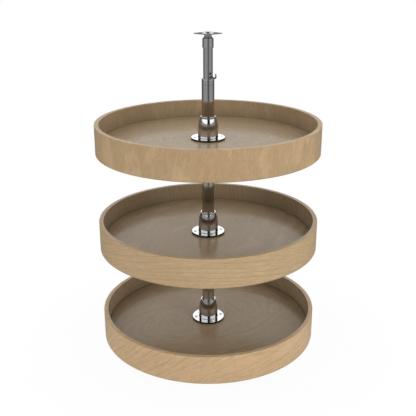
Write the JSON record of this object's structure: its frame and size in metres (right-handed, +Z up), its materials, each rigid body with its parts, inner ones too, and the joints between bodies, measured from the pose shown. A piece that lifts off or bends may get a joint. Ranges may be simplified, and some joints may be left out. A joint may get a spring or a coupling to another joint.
{
  "type": "rotating pantry cabinet",
  "caption": "Full-circle wooden carousel trays with chrome hubs on a telescoping metal post, for turning inside a pantry or corner cabinet.",
  "frame": {"origin": "on the cabinet floor under the base plate, on the post's axis", "axes": "+Z up along the post; -Y towards the viewer of the picture"},
  "size_m": [0.4572, 0.4572, 0.6607],
  "materials": {
    "tray_veneer": "satin",
    "hub_chrome": "polished",
    "tube_steel": "polished",
    "plate_steel": "satin",
    "collar_steel": "satin",
    "screw_steel": "satin",
    "bush_plastic": "matte"
  },
  "bodies": {
    "base": {"base_plate": "plate_steel", "base_stud": "collar_steel", "thrust_washer": "bush_plastic"},
    "post": {"lower_tube": "tube_steel", "ferrule": "tube_steel", "foot_bearing": "bush_plastic", "bottom_collar": "collar_steel", "bottom_collar_screw": "screw_steel", "middle_collar": "collar_steel", "middle_collar_screw": "screw_steel", "top_collar": "collar_steel", "top_collar_screw": "screw_steel"},
    "bottom_tray": {"bottom_band": "tray_veneer", "bottom_floor": "tray_veneer", "bottom_hub_bell": "hub_chrome", "bottom_hub_ring": "hub_chrome", "bottom_hub_bush": "bush_plastic", "bottom_hub_screws": "screw_steel"},
    "middle_tray": {"middle_band": "tray_veneer", "middle_floor": "tray_veneer", "middle_hub_bell": "hub_chrome", "middle_hub_ring": "hub_chrome", "middle_hub_bush": "bush_plastic", "middle_hub_screws": "screw_steel"},
    "top_tray": {"top_band": "tray_veneer", "top_floor": "tray_veneer", "top_hub_bell": "hub_chrome", "top_hub_ring": "hub_chrome", "top_hub_bush": "bush_plastic", "top_hub_screws": "screw_steel"},
    "mast": {"upper_tube": "tube_steel", "guide_plug": "bush_plastic", "top_cap": "tube_steel", "pivot_bush": "bush_plastic"},
    "height_pin": {"hook_pin": "hub_chrome"},
    "ceiling_pivot": {"pivot_pin": "collar_steel", "top_plate": "plate_steel"}
  },
  "joints": [
    {"name": "post_turn", "type": "hinge", "parent": "base", "child": "post", "pos_m": [0, 0, 0.0065], "axis": [0, 0, 1], "continuous": true},
    {"name": "bottom_tray_turn", "type": "hinge", "parent": "post", "child": "bottom_tray", "pos_m": [0, 0, 0.028], "axis": [0, 0, 1], "continuous": true},
    {"name": "middle_tray_turn", "type": "hinge", "parent": "post", "child": "middle_tray", "pos_m": [0, 0, 0.2322], "axis": [0, 0, 1], "continuous": true},
    {"name": "top_tray_turn", "type": "hinge", "parent": "post", "child": "top_tray", "pos_m": [0, 0, 0.4364], "axis": [0, 0, 1], "continuous": true},
    {"name": "mast_slide", "type": "slide", "parent": "post", "child": "mast", "axis": [0, 0, 1], "range_m": [0, 0.1143]},
    {"name": "pin_pull", "type": "slide", "parent": "mast", "child": "height_pin", "axis": [0.5, -0.866, 0], "range_m": [0, 0.026]},
    {"name": "ceiling_turn", "type": "hinge", "parent": "mast", "child": "ceiling_pivot", "pos_m": [0, 0, 0.655], "axis": [0, 0, 1], "continuous": true}
  ]
}
